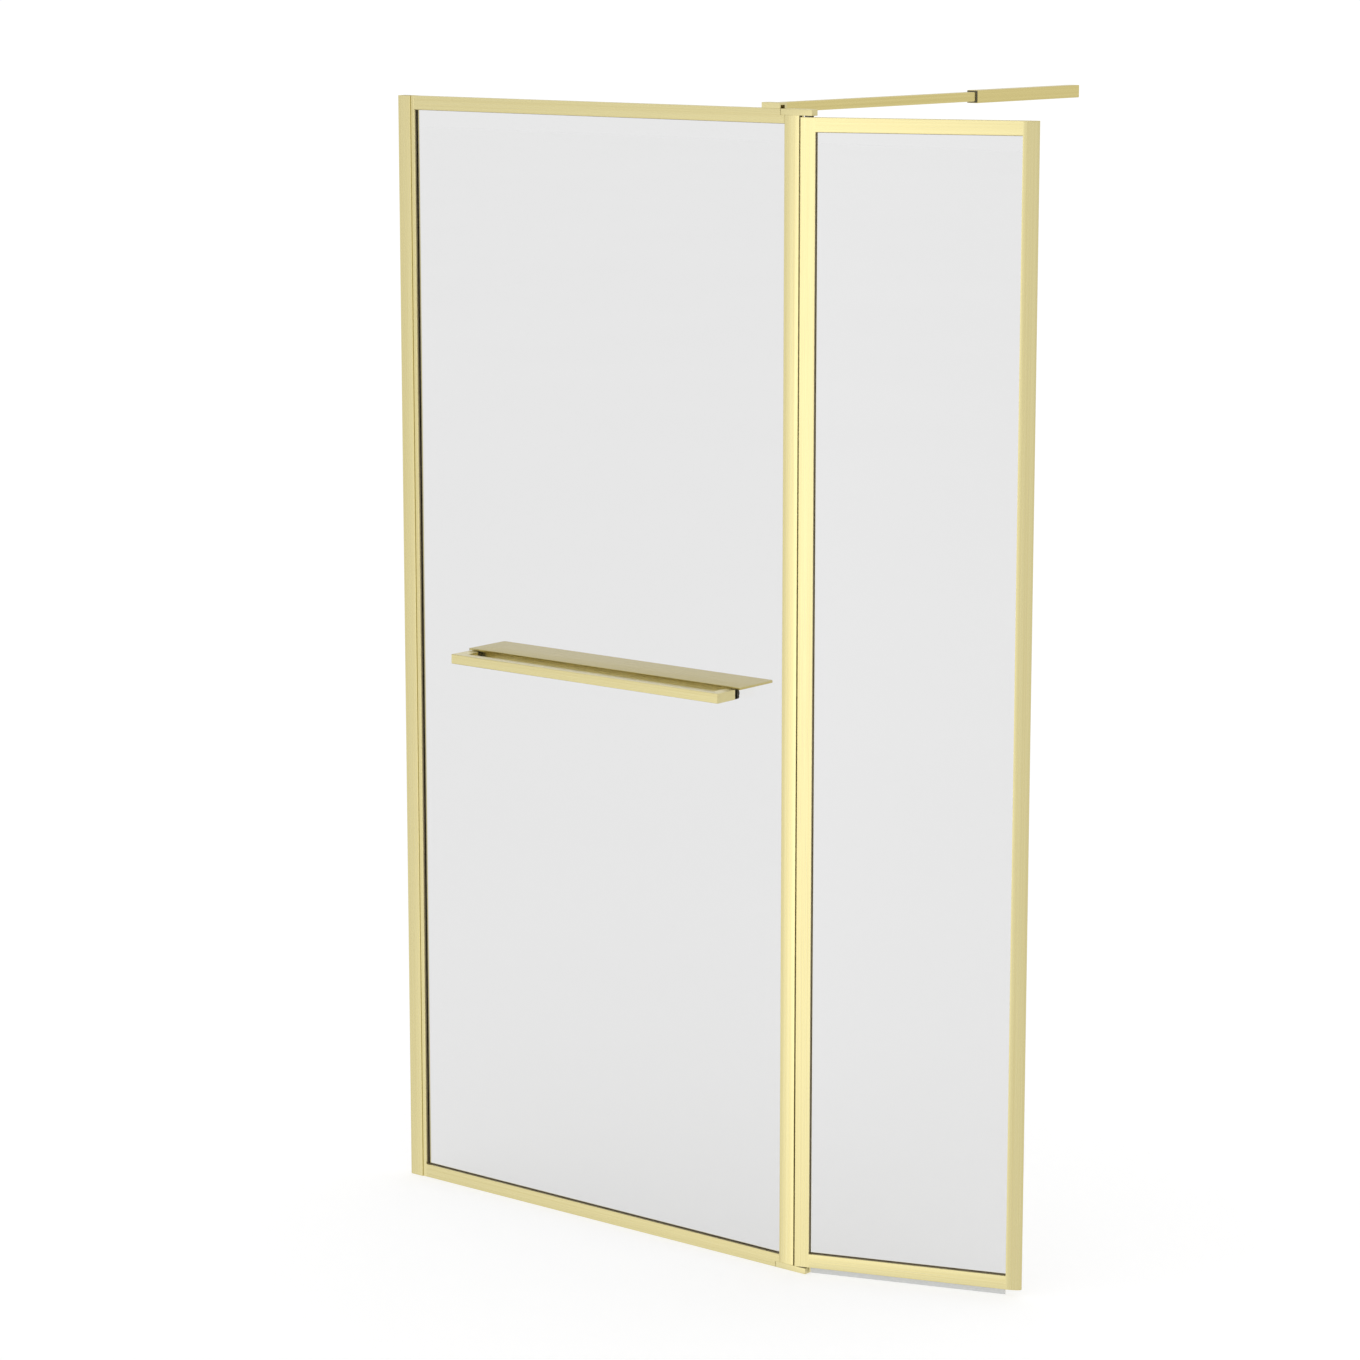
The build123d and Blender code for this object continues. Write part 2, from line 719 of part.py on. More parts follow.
def pivot_pin(edge):
    """Steel pin pressed into its block, standing out of the panel into the bush."""
    with BuildSketch(edge.offset(-pin_length)) as outline:
        Circle(pin_radius)
    extrude(outline.sketch, amount=pin_length + pin_seat)
    chamfer(edges(), pin_chamfer)


with BuildPart() as lower_pivot_pin:
    pivot_pin(pivot_bottom)
save(lower_pivot_pin, "lower_pivot_pin")

with BuildPart() as upper_pivot_pin:
    pivot_pin(pivot_top)
save(upper_pivot_pin, "upper_pivot_pin")


# Pivot panel
def corner_tongue(edge, side, face, back, base):
    """Arm of a corner piece: a neck through the upright's pocket and a tongue in the rail.

    The face is where the upright meets the rail, the back is where its web ends, and the base
    is how far in from the edge the arm begins.
    """
    top = pivot_web - profile_wall - block_clearance
    with BuildSketch(across(edge, back)) as outline:
        with Locations((0, base)):
            Rectangle(pocket_width - 2 * block_clearance, top - base, align=LOW)
    extrude(outline.sketch, amount=face - back)
    with BuildSketch(across(edge, face)) as outline:
        with Locations((0, base)):
            Rectangle(2 * (inner_half - block_clearance), top - base, align=LOW)
    extrude(outline.sketch, amount=side * tongue_length)


def web_notch(edge, start, end):
    """Opening in an upright's web for the neck of a corner piece."""
    with BuildSketch(across(edge, start)) as outline:
        Rectangle(pocket_width, pivot_web - profile_wall, align=LOW)
    extrude(outline.sketch, amount=end - start, mode=Mode.SUBTRACT)


def arm_base(edge):
    """Distance from the edge to a corner piece's arm, which clears the seal groove at the bottom."""
    return bottom_arm_base if edge == pivot_bottom else top_arm_base


def frame_screw_seats(edge, places):
    """Planes on the shower side of the pivot panel, at the screws of its corner pieces."""
    arm_middle = (arm_base(edge) + pivot_web - profile_wall - block_clearance) / 2
    z = height_of(edge, arm_middle)
    return [facing(pivot_panel, (x, half_depth, z), (0, 1, 0)) for x in places]


def frame_screw_holes(edge, places, depth):
    """Countersunk holes for the screws of the corner pieces."""
    for seat in frame_screw_seats(edge, places):
        countersunk_hole(seat, small_screw_radius, small_head_radius, depth)


with BuildPart() as hinge_stile:
    with BuildSketch(pivot_bottom.offset(cover_thickness)):
        rounded_nose(hinge_stile_face, half_depth, nose_radius)
        with Locations((hinge_stile_face, 0)):
            Rectangle(hinge_pocket_depth, pocket_width, align=RIGHT, mode=Mode.SUBTRACT)
        hinge_chamber(0, Mode.SUBTRACT)
    extrude(amount=pivot_top_height - pivot_panel_bottom - 2 * cover_thickness)
    for edge in (pivot_bottom, pivot_top):
        web_notch(edge, hinge_web_back, hinge_web_back + profile_wall)
        frame_screw_holes(edge, hinge_screws[:1], half_depth)
save(hinge_stile, "hinge_stile")


def pivot_block(edge):
    """Corner piece of the hinge stile: a cover over its end, a block for the pin and an arm."""
    with BuildSketch(edge) as outline:
        rounded_nose(hinge_stile_face, half_depth, nose_radius)
    extrude(outline.sketch, amount=cover_thickness)
    with BuildSketch(edge) as outline:
        hinge_chamber(block_clearance)
    extrude(outline.sketch, amount=block_length)
    corner_tongue(edge, 1, hinge_stile_face, hinge_web_back - 2 * block_clearance, arm_base(edge))
    round_hole(facing(edge, (0, 0, 0), (0, 0, -1)), pin_radius, pin_seat)
    frame_screw_holes(edge, hinge_screws, small_screw_length)


with BuildPart() as lower_pivot_block:
    pivot_block(pivot_bottom)
save(lower_pivot_block, "lower_pivot_block")

with BuildPart() as upper_pivot_block:
    pivot_block(pivot_top)
save(upper_pivot_block, "upper_pivot_block")

with BuildPart() as closing_stile:
    with BuildSketch(pivot_bottom.offset(cover_thickness)):
        closing_outline()
        with Locations((closing_face, 0)):
            Rectangle(pocket_depth, pocket_width, align=LEFT, mode=Mode.SUBTRACT)
        closing_chamber(0, Mode.SUBTRACT)
    extrude(amount=pivot_top_height - pivot_panel_bottom - 2 * cover_thickness)
    for edge in (pivot_bottom, pivot_top):
        web_notch(edge, closing_web_back - profile_wall, closing_web_back)
        frame_screw_holes(edge, closing_screws[:1], half_depth)
save(closing_stile, "closing_stile")

with BuildPart() as closing_stile_caps:
    for edge in (pivot_bottom, pivot_top):
        with BuildSketch(edge):
            closing_outline()
        extrude(amount=cover_thickness)
save(closing_stile_caps, "closing_stile_caps")


def corner_cleat(edge):
    """Corner piece of the closing stile: a block in its chamber and an arm in the rail."""
    with BuildSketch(edge.offset(cover_thickness)) as outline:
        closing_chamber(block_clearance)
    extrude(outline.sketch, amount=block_length)
    corner_tongue(edge, -1, closing_face, closing_web_back + 2 * block_clearance, arm_base(edge))
    frame_screw_holes(edge, closing_screws, small_screw_length)


with BuildPart() as lower_corner_cleat:
    corner_cleat(pivot_bottom)
save(lower_corner_cleat, "lower_corner_cleat")

with BuildPart() as upper_corner_cleat:
    corner_cleat(pivot_top)
save(upper_corner_cleat, "upper_corner_cleat")

with BuildPart() as pivot_bottom_rail:
    with BuildSketch(across(pivot_bottom, hinge_stile_face)):
        glazing_profile(pivot_rail_height)
        seal_groove()
    extrude(amount=closing_face - hinge_stile_face)
    frame_screw_holes(pivot_bottom, (hinge_screws[1], closing_screws[1]), profile_wall)
save(pivot_bottom_rail, "pivot_bottom_rail")

with BuildPart() as pivot_top_rail:
    with BuildSketch(across(pivot_top, hinge_stile_face)):
        glazing_profile(pivot_rail_height)
    extrude(amount=closing_face - hinge_stile_face)
    frame_screw_holes(pivot_top, (hinge_screws[1], closing_screws[1]), profile_wall)
save(pivot_top_rail, "pivot_top_rail")

with BuildPart() as pivot_frame_screws:
    for edge in (pivot_bottom, pivot_top):
        for seat in frame_screw_seats(edge, hinge_screws + closing_screws):
            countersunk_screw(seat, small_screw_radius, small_head_radius, small_screw_length)
save(pivot_frame_screws, "pivot_frame_screws")

with BuildPart() as pivot_glass:
    glass_pane(pivot_panel, pivot_glass_sides, pivot_glass_ends)
save(pivot_glass, "pivot_glass")

with BuildPart() as hinge_side_gasket:
    upright_gasket(pivot_panel, hinge_stile_face, 1, hinge_glass_bite, pivot_glass_ends)
save(hinge_side_gasket, "hinge_side_gasket")

with BuildPart() as closing_side_gasket:
    upright_gasket(pivot_panel, closing_face, -1, glass_bite, pivot_glass_ends)
save(closing_side_gasket, "closing_side_gasket")

with BuildPart() as pivot_bottom_gasket:
    rail_gasket(pivot_bottom, pivot_rail_height, hinge_stile_face, closing_face)
save(pivot_bottom_gasket, "pivot_bottom_gasket")

with BuildPart() as pivot_top_gasket:
    rail_gasket(pivot_top, pivot_rail_height, hinge_stile_face, closing_face)
save(pivot_top_gasket, "pivot_top_gasket")

with BuildPart() as bottom_seal:
    with BuildSketch(across(pivot_bottom, seal_start)):
        with Locations((0, groove_lip + seal_play)):
            Rectangle(groove_width - 2 * seal_play, groove_depth - 2 * seal_play, align=LOW)
        with Locations((0, 0)):
            Rectangle(groove_mouth - 2 * seal_play, groove_lip + 2 * seal_play, align=LOW)
        with BuildLine():
            Polyline(
                (-seal_width / 2, 0),
                (seal_width / 2, 0),
                (seal_tip_thickness / 2, seal_tip_height - pivot_panel_bottom),
                (-seal_tip_thickness / 2, seal_tip_height - pivot_panel_bottom),
                close=True,
            )
        make_face()
    extrude(amount=closing_face - seal_end_gap - seal_start)
save(bottom_seal, "bottom_seal")


# Brace from the top rail to the far wall
with BuildPart() as brace_clamp:
    with BuildSketch(across(fixed_bottom, clamp_left)):
        with Locations((-half_depth, screen_height + clamp_top)):
            Rectangle(half_depth + clamp_back, clamp_top + clamp_drop, align=TOP_LEFT)
        fillet(vertices(), clamp_edge)
        with Locations((0, screen_height)):
            Rectangle(frame_depth, rail_height, align=HIGH, mode=Mode.SUBTRACT)
        with Locations((clamp_front_wall - half_depth, screen_height + clamp_top - clamp_plate)):
            Rectangle(
                frame_depth - clamp_front_wall - clamp_rib,
                clamp_top - clamp_plate,
                align=TOP_LEFT,
                mode=Mode.SUBTRACT,
            )
    extrude(amount=clamp_width)
    with BuildSketch(along_brace(clamp_back)):
        Rectangle(bar_bore - 2 * plug_clearance, bar_bore - 2 * plug_clearance)
    extrude(amount=bar_spigot)
    for seat in tongue_screw_seats(fixed_top, clamp_screw_places):
        countersunk_hole(seat.offset(clamp_plate), small_screw_radius, small_head_radius, clamp_plate)
    round_hole(under_brace(bar_start + spigot_screw_inset, bar_size), grub_radius, bar_wall + grub_depth)
save(brace_clamp, "brace_clamp")

with BuildPart() as clamp_screws:
    for seat in tongue_screw_seats(fixed_top, clamp_screw_places):
        countersunk_screw(seat.offset(clamp_plate), small_screw_radius, small_head_radius, small_screw_length)
save(clamp_screws, "clamp_screws")

with BuildPart() as brace_inner_bar:
    with BuildSketch(along_brace(bar_start)):
        square_tube(bar_size, bar_wall, bar_corner)
    extrude(amount=bar_length)
    round_hole(under_brace(bar_start + spigot_screw_inset, bar_size), grub_radius, bar_wall)
save(brace_inner_bar, "brace_inner_bar")

with BuildPart() as bar_grub_screw:
    grub_screw(under_brace(bar_start + spigot_screw_inset, bar_size), bar_wall + grub_depth)
save(bar_grub_screw, "bar_grub_screw")

with BuildPart() as bar_end_plug:
    with BuildSketch(along_brace(bar_end)):
        Rectangle(bar_bore - 2 * plug_clearance, bar_bore - 2 * plug_clearance)
    extrude(amount=-plug_length)
    with BuildSketch(along_brace(bar_end)):
        Rectangle(tube_bore - 2 * guide_clearance, tube_bore - 2 * guide_clearance)
    extrude(amount=plug_head)
save(bar_end_plug, "bar_end_plug")

with BuildPart() as brace_outer_tube:
    with BuildSketch(along_brace(tube_start)):
        square_tube(tube_size, tube_wall, tube_corner)
    extrude(amount=tube_length)
    for y in (tube_start + lock_screw_inset, tube_end - spigot_screw_inset):
        round_hole(under_brace(y, tube_size), grub_radius, tube_wall)
save(brace_outer_tube, "brace_outer_tube")

with BuildPart() as brace_collar:
    with BuildSketch(along_brace(tube_start)):
        Rectangle(tube_bore, tube_bore)
    extrude(amount=guide_length)
    with BuildSketch(along_brace(tube_start)):
        RectangleRounded(tube_size - tube_wall, tube_size - tube_wall, tube_corner)
    extrude(amount=-guide_lip)
    with BuildSketch(along_brace(tube_start - guide_lip)):
        Rectangle(bar_size + 2 * guide_clearance, bar_size + 2 * guide_clearance)
    extrude(amount=guide_lip + guide_length, mode=Mode.SUBTRACT)
    round_hole(under_brace(tube_start + lock_screw_inset, tube_size), grub_radius, tube_size / 2)
save(brace_collar, "brace_collar")

with BuildPart() as brace_lock_screw:
    grub_screw(under_brace(tube_start + lock_screw_inset, tube_size), (tube_size - bar_size) / 2 - grub_gap)
save(brace_lock_screw, "brace_lock_screw")

with BuildPart() as brace_wall_socket:
    with BuildSketch(along_brace(tube_end)):
        RectangleRounded(tube_size, tube_size, tube_corner)
    extrude(amount=socket_plate)
    with BuildSketch(along_brace(tube_end)):
        Rectangle(tube_bore - 2 * socket_clearance, tube_bore - 2 * socket_clearance)
    extrude(amount=-socket_spigot)
    round_hole(along_brace(tube_end), socket_bore, socket_spigot)
    round_hole(along_brace(brace_reach), wall_hole_radius, socket_plate)
    round_hole(under_brace(tube_end - spigot_screw_inset, tube_size), grub_radius, tube_wall + grub_depth)
save(brace_wall_socket, "brace_wall_socket")

with BuildPart() as socket_screw:
    grub_screw(under_brace(tube_end - spigot_screw_inset, tube_size), tube_wall + grub_depth)
save(socket_screw, "socket_screw")

# Towel bar outside and shelf inside, bolted together through the glass
with BuildPart() as towel_bar:
    with BuildSketch(fixed_panel.offset(towel_bar_bottom)):
        with Locations((towel_bar_start, leg_back)):
            Rectangle(towel_bar_length, leg_back - bar_front, align=TOP_LEFT)
        with BuildSketch(mode=Mode.SUBTRACT):
            with Locations((towel_bar_start + leg_width, leg_back)):
                Rectangle(towel_bar_length - 2 * leg_width, leg_back - bar_back, align=TOP_LEFT)
            fillet(vertices().group_by(Axis.Y)[0], leg_corner)
    extrude(amount=towel_bar_height)
    chamfer(edges(), bar_edge)
    for x in bolt_places:
        round_hole(bolt_seat(x, leg_back), bolt_radius, bolt_grip)
save(towel_bar, "towel_bar")

with BuildPart() as towel_bar_washers:
    for place in (towel_bar_start + leg_width / 2, towel_bar_end - leg_width / 2):
        with BuildSketch(bolt_seat(place, leg_back)):
            RectangleRounded(leg_width - 2 * washer_inset, towel_bar_height - 2 * washer_inset, washer_inset)
        extrude(amount=washer_thickness)
    for x in bolt_places:
        round_hole(bolt_seat(x, -half_glass), bolt_hole_radius, washer_thickness)
save(towel_bar_washers, "towel_bar_washers")

with BuildPart() as glass_sleeves:
    for x in bolt_places:
        with BuildSketch(bolt_seat(x, half_glass)):
            Circle(glass_hole_radius - sleeve_clearance)
            Circle(bolt_hole_radius, mode=Mode.SUBTRACT)
        extrude(amount=-glass_thickness)
save(glass_sleeves, "glass_sleeves")

with BuildPart() as shelf_pads:
    for x in bolt_places:
        with BuildSketch(facing(fixed_panel, (x, pad_back, towel_bar_bottom), (0, 1, 0))):
            Rectangle(pad_width, shelf_underside - towel_bar_bottom, align=HIGH)
            fillet(vertices().group_by(Axis.Z)[0], pad_corner)
        extrude(amount=-pad_thickness)
        round_hole(bolt_seat(x, pad_back), bolt_hole_radius, pad_thickness)
save(shelf_pads, "shelf_pads")

with BuildPart() as shelf_plate:
    with BuildSketch(fixed_panel.offset(shelf_underside)):
        with Locations((towel_bar_start - shelf_overhang, half_glass + shelf_glass_gap)):
            Rectangle(towel_bar_length + 2 * shelf_overhang, shelf_depth, align=CORNER)
        fillet(vertices().group_by(Axis.Y)[-1], shelf_corner)
    extrude(amount=shelf_thickness)
    fillet(edges().group_by(Axis.Z)[-1], shelf_edge)
    with BuildSketch(fixed_panel.offset(towel_bar_bottom)):
        with Locations((flange_start, pad_back)):
            Rectangle(flange_length, flange_thickness, align=CORNER)
    extrude(amount=shelf_underside - towel_bar_bottom)
    for x in bolt_places:
        round_hole(bolt_seat(x, flange_back), bolt_hole_radius, flange_thickness)
save(shelf_plate, "shelf_plate")

with BuildPart() as shelf_bolts:
    for x in bolt_places:
        pan_screw(bolt_seat(x, flange_back), bolt_radius, bolt_head_radius, bolt_head_height, bolt_length)
save(shelf_bolts, "shelf_bolts")
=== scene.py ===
"""Finishes a walk-in shower screen: brushed gold profiles, clear glass, rubber, brush and vinyl seals.

Everything is in metres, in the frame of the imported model: X along the fixed panel from its wall,
Y into the shower, Z up.
"""

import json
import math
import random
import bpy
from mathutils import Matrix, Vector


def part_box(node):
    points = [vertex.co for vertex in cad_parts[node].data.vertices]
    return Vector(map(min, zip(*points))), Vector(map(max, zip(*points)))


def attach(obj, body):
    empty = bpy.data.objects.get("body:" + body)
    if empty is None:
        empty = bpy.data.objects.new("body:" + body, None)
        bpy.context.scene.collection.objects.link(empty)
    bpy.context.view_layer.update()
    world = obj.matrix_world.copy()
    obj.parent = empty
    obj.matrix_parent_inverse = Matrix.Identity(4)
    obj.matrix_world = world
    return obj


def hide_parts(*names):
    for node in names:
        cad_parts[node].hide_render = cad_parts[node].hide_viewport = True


bl_info = {
    "name": "Walk-in shower screen finish",
    "version": (1, 0, 0),
    "blender": (4, 5, 0),
    "location": "View3D > Sidebar > Shower screen",
    "description": "Surfaces, seals and studio for a framed walk-in shower screen",
    "category": "Object",
}

import bmesh
import bpy
from bpy.props import FloatProperty, FloatVectorProperty, IntProperty, PointerProperty
from mathutils import Matrix, Vector

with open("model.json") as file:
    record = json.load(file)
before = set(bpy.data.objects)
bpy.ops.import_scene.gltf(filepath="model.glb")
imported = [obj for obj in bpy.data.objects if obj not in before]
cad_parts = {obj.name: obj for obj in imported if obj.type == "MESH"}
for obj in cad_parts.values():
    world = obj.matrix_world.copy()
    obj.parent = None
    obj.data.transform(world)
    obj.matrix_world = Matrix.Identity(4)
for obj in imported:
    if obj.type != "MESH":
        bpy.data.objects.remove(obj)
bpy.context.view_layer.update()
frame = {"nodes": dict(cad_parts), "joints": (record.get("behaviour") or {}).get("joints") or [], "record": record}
RECORD = frame["record"]
BODY_OF = {node: body for body, nodes in RECORD["behaviour"]["bodies"].items() for node in nodes}
SLOT_OF = {part["node"]: part["material_slot"] for part in RECORD["subparts"]}
HINGE = next(joint for joint in frame["joints"] if joint["type"] == "hinge")
PIVOT = Vector(HINGE["pos_m"])
# Turn of the pivoting panel at rest, as its outer limit is square to the fixed panel
PANEL_TURN = math.radians(-(HINGE["range_deg"][0] + 90.0))
PANEL_ALONG = Vector((math.cos(PANEL_TURN), math.sin(PANEL_TURN), 0.0))

UPRIGHT = Vector((0.0, 0.0, 1.0))
ALONG_PANEL = Vector((1.0, 0.0, 0.0))
ALONG_BRACE = Vector((0.0, 1.0, 0.0))
MILLIMETRE = 0.001
GLASS_HALF = 3.0 * MILLIMETRE
LIP_WIDTH = 2.1 * MILLIMETRE      # gap between the glass and the frame, less a little
LIP_ROOT = 0.75 * MILLIMETRE      # depth below the frame's edge, just clear of the gasket
LIP_STEPS = 6
BRUSH_BASE = 1.2 * MILLIMETRE     # thickness of the brush seal's woven base
BRUSH_EDGE = 0.25 * MILLIMETRE
TUFT_ROW_PITCH = 0.75 * MILLIMETRE
TUFT_RADIUS = 0.22 * MILLIMETRE
TUFT_FOOT = 1.5                   # foot of a tuft, in radii of its tip
TUFT_LEAN = 0.25 * MILLIMETRE
TUFT_SHORTEST = 0.86              # shortest tuft as a share of the longest
TUFT_SEED = 7
SMOOTH_ANGLE = math.radians(32.0)
EDGE_ANGLE = math.radians(40.0)   # edges sharper than this are softened
FLAT_ANGLE = math.radians(0.5)    # faces that meet flatter than this become one
MERGE_DISTANCE = 1e-6
GLASS_INDEX = 1.33
ZINC = (0.52, 0.53, 0.55)
FLOOR_DARK = (0.555, 0.555, 0.555)
FLOOR_LIGHT = (0.565, 0.565, 0.565)
FLOOR_SIZE = 30.0
FLOOR_DROP = 0.5 * MILLIMETRE
SENSOR_WIDTH = 36.0               # millimetres, as the lens
VIEW_DEPTH = 60.0

# Where the soft light in front fades in: turns in radians, heights as the rise of a unit ray
LIGHT_LEFT = (-0.68, -0.48)
LIGHT_RIGHT = (0.115, 0.01)
LIGHT_FOOT = (-0.40, -0.24)
LIGHT_TOP = (0.32, 0.10)
LIGHT_SLANT = 0.55                # rise of the light's top for each radian of turn
AMBIENT_BACK = 0.78
AMBIENT_FRONT = 0.83
AMBIENT_CHANGE = (-0.3, 0.6)      # how far forwards a ray points where the two brightnesses begin


# Sizes and colours that a user would change
class ShowerFinish(bpy.types.PropertyGroup):
    """Colours and grain of the screen's surfaces."""

    gold: FloatVectorProperty(
        name="Gold", description="Colour of the anodised profiles", subtype="COLOR",
        size=3, min=0.0, max=1.0, default=(0.82, 0.73, 0.385),
    )
    gold_deep: FloatVectorProperty(
        name="Deep gold", description="Darker tone in the brushing of the profiles", subtype="COLOR",
        size=3, min=0.0, max=1.0, default=(0.77, 0.67, 0.335),
    )
    gold_shade: FloatVectorProperty(
        name="Brace gold", description="Colour of the brace and the shelf, a shade richer", subtype="COLOR",
        size=3, min=0.0, max=1.0, default=(0.82, 0.70, 0.30),
    )
    gold_shade_deep: FloatVectorProperty(
        name="Deep brace gold", description="Darker tone in the brushing of the brace and the shelf",
        subtype="COLOR", size=3, min=0.0, max=1.0, default=(0.76, 0.64, 0.26),
    )
    glass_tint: FloatVectorProperty(
        name="Glass tint", description="Colour that the glass lets through", subtype="COLOR",
        size=3, min=0.0, max=1.0, default=(0.775, 0.775, 0.775),
    )
    rubber: FloatVectorProperty(
        name="Rubber", description="Colour of gaskets, pads and washers", subtype="COLOR",
        size=3, min=0.0, max=1.0, default=(0.060, 0.052, 0.034),
    )
    # Painted shade: the lips' dark bronze stands in for the shaded inner sides of the gold channel beside the
    # glass; the rubber lip itself is real.
    lip_rubber_and_channel_shade: FloatVectorProperty(
        name="Lip rubber with painted channel shade", description="Colour of the lips beside the glass, bronze as painted shade of the gold channel", subtype="COLOR",
        size=3, min=0.0, max=1.0, default=(0.200, 0.155, 0.075),
    )
    pile: FloatVectorProperty(
        name="Pile", description="Colour of the brush between the post and the hinge stile",
        subtype="COLOR", size=3, min=0.0, max=1.0, default=(0.130, 0.105, 0.060),
    )
    vinyl: FloatVectorProperty(
        name="Vinyl", description="Colour of the seal under the pivoting panel", subtype="COLOR",
        size=3, min=0.0, max=1.0, default=(0.66, 0.67, 0.67),
    )
    steel: FloatVectorProperty(
        name="Steel", description="Colour of screws and pins", subtype="COLOR",
        size=3, min=0.0, max=1.0, default=(0.60, 0.58, 0.55),
    )
    nylon: FloatVectorProperty(
        name="Nylon", description="Colour of bushes, sleeves, plug and brace collar", subtype="COLOR",
        size=3, min=0.0, max=1.0, default=(0.110, 0.100, 0.075),
    )
    grain: FloatProperty(
        name="Grain", description="Brush lines per metre across a profile", min=100.0, default=2600.0,
    )
    satin: FloatProperty(
        name="Satin", description="Roughness of the brushed profiles", min=0.0, max=1.0, default=0.25,
    )
    worn_edge: FloatProperty(
        name="Edge", description="Width of the softened edge on gold pieces", unit="LENGTH",
        min=0.0, default=0.25 * MILLIMETRE,
    )


class ShowerSeals(bpy.types.PropertyGroup):
    """Sizes of the seals and of the visible edge of the gaskets."""

    lip: FloatProperty(
        name="Gasket lip", description="How far the rubber stands up beside the glass",
        unit="LENGTH", min=0.0, default=0.8 * MILLIMETRE,
    )
    bristle_pitch: FloatProperty(
        name="Bristle pitch", description="Distance between tufts of the brush seal",
        unit="LENGTH", min=0.5 * MILLIMETRE, default=1.0 * MILLIMETRE,
    )
    bristle_rows: IntProperty(
        name="Bristle rows", description="Rows of tufts across the brush seal", min=1, default=3,
    )


class ShowerStudio(bpy.types.PropertyGroup):
    """Camera and light of the studio."""

    lens: FloatProperty(name="Lens", description="Focal length in millimetres", min=10.0, default=107.8)
    camera_place: FloatVectorProperty(
        name="Camera", description="Place of the camera", subtype="XYZ", unit="LENGTH",
        size=3, default=(5.0237, -5.3761, 2.2938),
    )
    camera_turn: FloatProperty(
        name="Turn", description="Camera's turn about the vertical", subtype="ANGLE",
        default=math.radians(39.188),
    )
    camera_drop: FloatProperty(
        name="Drop", description="Camera's tilt below level", subtype="ANGLE",
        default=math.radians(10.466),
    )
    floor_glow: FloatProperty(
        name="Floor glow", description="Light that the floor gives by itself", min=0.0, default=0.58,
    )
    front_light: FloatProperty(
        name="Front light", description="Brightness of the soft light in front", min=0.0, default=1.0,
    )
    backdrop: FloatProperty(
        name="Backdrop", description="Brightness of the backdrop", min=0.0, default=1.04,
    )


# Node groups
def new_group(name, inputs, outputs):
    """Empty shader node group with named sockets."""
    group = bpy.data.node_groups.new(name, "ShaderNodeTree")
    for label, kind, value in inputs:
        socket = group.interface.new_socket(label, in_out="INPUT", socket_type=kind)
        if value is not None:
            socket.default_value = value
    for label, kind in outputs:
        group.interface.new_socket(label, in_out="OUTPUT", socket_type=kind)
    return group


def add_bump(group, source, height, result):
    """Bump of a group's texture, by its own strength and depth."""
    bump = group.nodes.new("ShaderNodeBump")
    group.links.new(source.outputs["Strength"], bump.inputs["Strength"])
    group.links.new(source.outputs["Depth"], bump.inputs["Distance"])
    group.links.new(height, bump.inputs["Height"])
    group.links.new(bump.outputs["Normal"], result.inputs["Normal"])


def grain_group():
    """Fine lines along Z of the incoming vector, with broad soft bands behind them."""
    if "Brushed grain" in bpy.data.node_groups:
        return bpy.data.node_groups["Brushed grain"]
    group = new_group(
        "Brushed grain",
        [("Vector", "NodeSocketVector", None), ("Lines", "NodeSocketFloat", 2600.0),
         ("Length", "NodeSocketFloat", 9.0), ("Strength", "NodeSocketFloat", 0.1),
         ("Depth", "NodeSocketFloat", 0.04 * MILLIMETRE)],
        [("Streaks", "NodeSocketFloat"), ("Bands", "NodeSocketFloat"), ("Normal", "NodeSocketVector")],
    )
    nodes, links = group.nodes, group.links
    source = nodes.new("NodeGroupInput")
    result = nodes.new("NodeGroupOutput")
    scale = nodes.new("ShaderNodeCombineXYZ")
    links.new(source.outputs["Lines"], scale.inputs["X"])
    links.new(source.outputs["Lines"], scale.inputs["Y"])
    links.new(source.outputs["Length"], scale.inputs["Z"])
    stretch = nodes.new("ShaderNodeVectorMath")
    stretch.operation = "MULTIPLY"
    links.new(source.outputs["Vector"], stretch.inputs[0])
    links.new(scale.outputs["Vector"], stretch.inputs[1])
    streaks = nodes.new("ShaderNodeTexNoise")
    streaks.inputs["Scale"].default_value = 1.0
    streaks.inputs["Detail"].default_value = 3.0
    links.new(stretch.outputs["Vector"], streaks.inputs["Vector"])
    links.new(streaks.outputs["Fac"], result.inputs["Streaks"])
    bands = nodes.new("ShaderNodeTexNoise")
    bands.inputs["Scale"].default_value = 0.12
    bands.inputs["Detail"].default_value = 2.0
    links.new(stretch.outputs["Vector"], bands.inputs["Vector"])
    links.new(bands.outputs["Fac"], result.inputs["Bands"])
    add_bump(group, source, streaks.outputs["Fac"], result)
    return group


def speckle_group():
    """Fine even speckle, for castings, rubber, plastic and steel."""
    if "Fine speckle" in bpy.data.node_groups:
        return bpy.data.node_groups["Fine speckle"]
    group = new_group(
        "Fine speckle",
        [("Vector", "NodeSocketVector", None), ("Scale", "NodeSocketFloat", 900.0),
         ("Detail", "NodeSocketFloat", 4.0), ("Strength", "NodeSocketFloat", 0.2),
         ("Depth", "NodeSocketFloat", 0.05 * MILLIMETRE)],
        [("Value", "NodeSocketFloat"), ("Normal", "NodeSocketVector")],
    )
    nodes, links = group.nodes, group.links
    source = nodes.new("NodeGroupInput")
    result = nodes.new("NodeGroupOutput")
    speckle = nodes.new("ShaderNodeTexNoise")
    for name in ("Vector", "Scale", "Detail"):
        links.new(source.outputs[name], speckle.inputs[name])
    links.new(speckle.outputs["Fac"], result.inputs["Value"])
    add_bump(group, source, speckle.outputs["Fac"], result)
    return group


